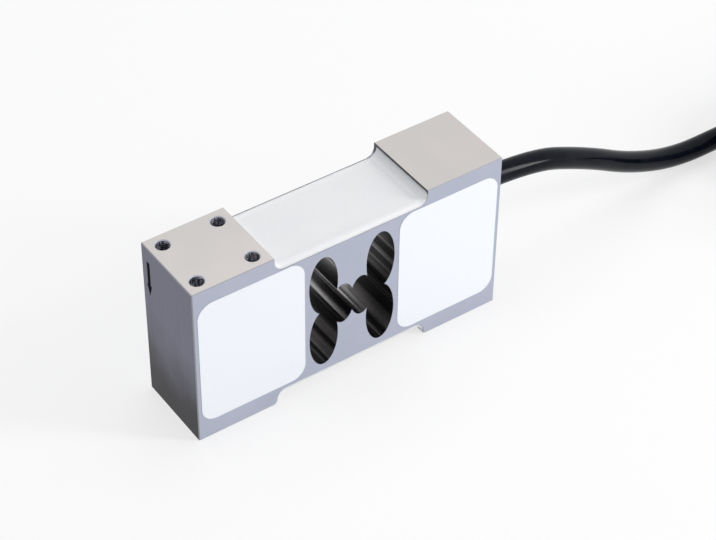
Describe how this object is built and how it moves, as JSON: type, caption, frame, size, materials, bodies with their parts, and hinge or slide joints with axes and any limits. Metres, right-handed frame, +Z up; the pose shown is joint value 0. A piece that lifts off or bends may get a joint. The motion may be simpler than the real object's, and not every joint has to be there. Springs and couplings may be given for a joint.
{
  "type": "single point load cell",
  "caption": "Milled aluminium weighing beam with a lobed cutout, silicone-coated gauge recesses, blank labels, tapped bolt patterns and a cable kept in a tied hank.",
  "frame": {"origin": "on the surface that the beam's two feet stand on, under the middle of the beam, cable apart", "axes": "+X along the beam towards the fixed end with the cable, -Y out of the labelled face, +Z up"},
  "size_m": [0.4971, 0.0873, 0.08],
  "materials": {
    "beam": "milled, lightly brushed",
    "arrow_paint": "dark filling in an engraved arrow",
    "label_film": "smooth satin film, blank",
    "gauge_film": "thin amber film",
    "gauge_foil": "etched foil",
    "board": "green laminate",
    "solder": "tinned",
    "resistor": "moulded",
    "enamel_wire": "enamelled copper",
    "core_red": "soft insulation",
    "core_black": "soft insulation",
    "core_green": "soft insulation",
    "core_white": "soft insulation",
    "sealant": "set silicone sealant",
    "coating": "poured silicone, soft and slightly translucent",
    "grommet_rubber": "moulded rubber",
    "cable_jacket": "glossy black jacket",
    "tie": "moulded nylon",
    "sleeve": "shrunk sleeve",
    "drain_wire": "tinned copper strand"
  },
  "bodies": {
    "root": {"spring_element": "beam", "load_arrow": "arrow_paint", "label_left": "label_film", "label_right": "label_film", "gauge_carrier_top_live": "gauge_film", "gauge_grid_top_live": "gauge_foil", "gauge_carrier_top_fixed": "gauge_film", "gauge_grid_top_fixed": "gauge_foil", "gauge_carrier_bottom_live": "gauge_film", "gauge_grid_bottom_live": "gauge_foil", "gauge_carrier_bottom_fixed": "gauge_film", "gauge_grid_bottom_fixed": "gauge_foil", "terminal_board": "board", "terminal_pads": "solder", "resistor_zero": "resistor", "resistor_span": "resistor", "resistor_temperature": "resistor", "top_gauge_leads": "enamel_wire", "bottom_gauge_leads": "enamel_wire", "bore_sealant": "sealant", "cable_grommet": "grommet_rubber", "top_coating": "coating", "bottom_coating": "coating", "cable_run": "cable_jacket", "cable_hank": "cable_jacket", "hank_tie": "tie", "end_sleeve": "sleeve", "lead_shield": "drain_wire", "core_red": "core_red", "lead_red": "core_red", "core_black": "core_black", "lead_black": "core_black", "core_green": "core_green", "lead_green": "core_green", "core_white": "core_white", "lead_white": "core_white"}
  },
  "joints": []
}
